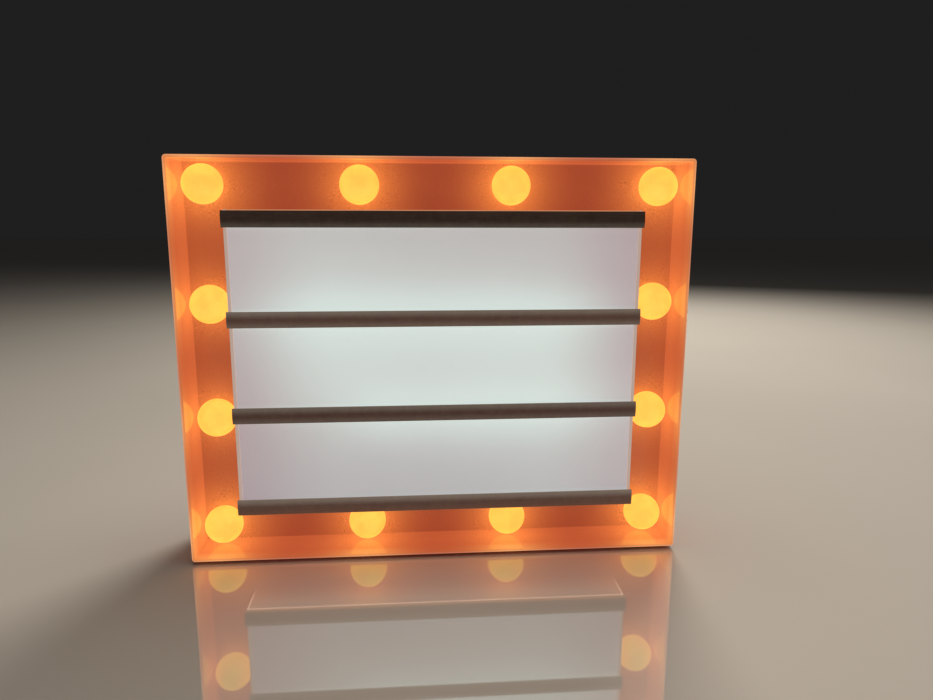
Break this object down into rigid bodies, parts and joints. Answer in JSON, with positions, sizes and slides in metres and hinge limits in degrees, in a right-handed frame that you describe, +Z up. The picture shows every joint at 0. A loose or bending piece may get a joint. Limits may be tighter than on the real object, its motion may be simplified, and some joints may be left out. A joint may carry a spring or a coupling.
{
  "type": "cinema light box",
  "caption": "Rectangular cinema light box with a lit white screen, dark card rails and a recessed frame of round marquee bulbs, battery powered.",
  "frame": {"origin": "on the table under the middle of the box's overall depth and width", "axes": "+X to the right as seen by someone who reads the board, +Z up, the lit front faces -Y"},
  "size_m": [0.3, 0.0562, 0.242],
  "materials": {
    "coral_shell": "satin",
    "opal_screen": "matt",
    "rail_plastic": "satin",
    "amber_globe": "frosted",
    "white_plastic": "matt",
    "white_board": "satin",
    "led_lens": "gloss",
    "green_board": "satin",
    "black_plastic": "satin",
    "bright_steel": "bright",
    "brass_nut": "satin",
    "cell_wrap": "satin",
    "foot_rubber": "matt",
    "red_lead": "satin",
    "black_lead": "satin"
  },
  "bodies": {
    "case": {"battery_box": "black_plastic", "battery_cell_1": "cell_wrap", "battery_cell_2": "cell_wrap", "battery_cell_3": "cell_wrap", "battery_cell_4": "cell_wrap", "battery_cell_5": "cell_wrap", "battery_cell_6": "cell_wrap", "battery_contacts": "bright_steel", "battery_lead_black": "black_lead", "battery_lead_red": "red_lead", "battery_springs": "bright_steel", "board_components": "black_plastic", "bottom_led_board": "white_board", "bottom_rail": "rail_plastic", "bulb_globe_01": "amber_globe", "bulb_globe_02": "amber_globe", "bulb_globe_03": "amber_globe", "bulb_globe_04": "amber_globe", "bulb_globe_05": "amber_globe", "bulb_globe_06": "amber_globe", "bulb_globe_07": "amber_globe", "bulb_globe_08": "amber_globe", "bulb_globe_09": "amber_globe", "bulb_globe_10": "amber_globe", "bulb_globe_11": "amber_globe", "bulb_globe_12": "amber_globe", "bulb_retaining_rings": "white_plastic", "control_board": "green_board", "control_board_screws": "bright_steel", "cover_screws": "bright_steel", "dc_socket": "black_plastic", "dc_socket_nut": "brass_nut", "front_left_foot": "foot_rubber", "front_right_foot": "foot_rubber", "front_shell": "coral_shell", "led_board_screws": "bright_steel", "left_led_board": "white_board", "light_tray": "white_plastic", "lower_rail": "rail_plastic", "marquee_lead": "black_lead", "marquee_leds": "led_lens", "rear_cover": "coral_shell", "rear_left_foot": "foot_rubber", "rear_right_foot": "foot_rubber", "right_led_board": "white_board", "screen_lead": "black_lead", "screen_led_board": "white_board", "screen_leds": "led_lens", "screen_panel": "opal_screen", "socket_lead": "black_lead", "switch_body": "black_plastic", "switch_lead": "black_lead", "switch_screws": "bright_steel", "top_led_board": "white_board", "top_rail": "rail_plastic", "tray_screws": "bright_steel", "upper_rail": "rail_plastic"},
    "battery_door": {"battery_door": "coral_shell"},
    "switch_knob": {"switch_knob": "black_plastic"}
  },
  "joints": [
    {"name": "battery_door_hinge", "type": "hinge", "parent": "case", "child": "battery_door", "pos_m": [0, 0.0261, 0.0472], "axis": [-1, 0, 0], "range_deg": [0, 90]},
    {"name": "power_switch_slide", "type": "slide", "parent": "case", "child": "switch_knob", "axis": [1, 0, 0], "range_m": [-0.004, 0]}
  ]
}
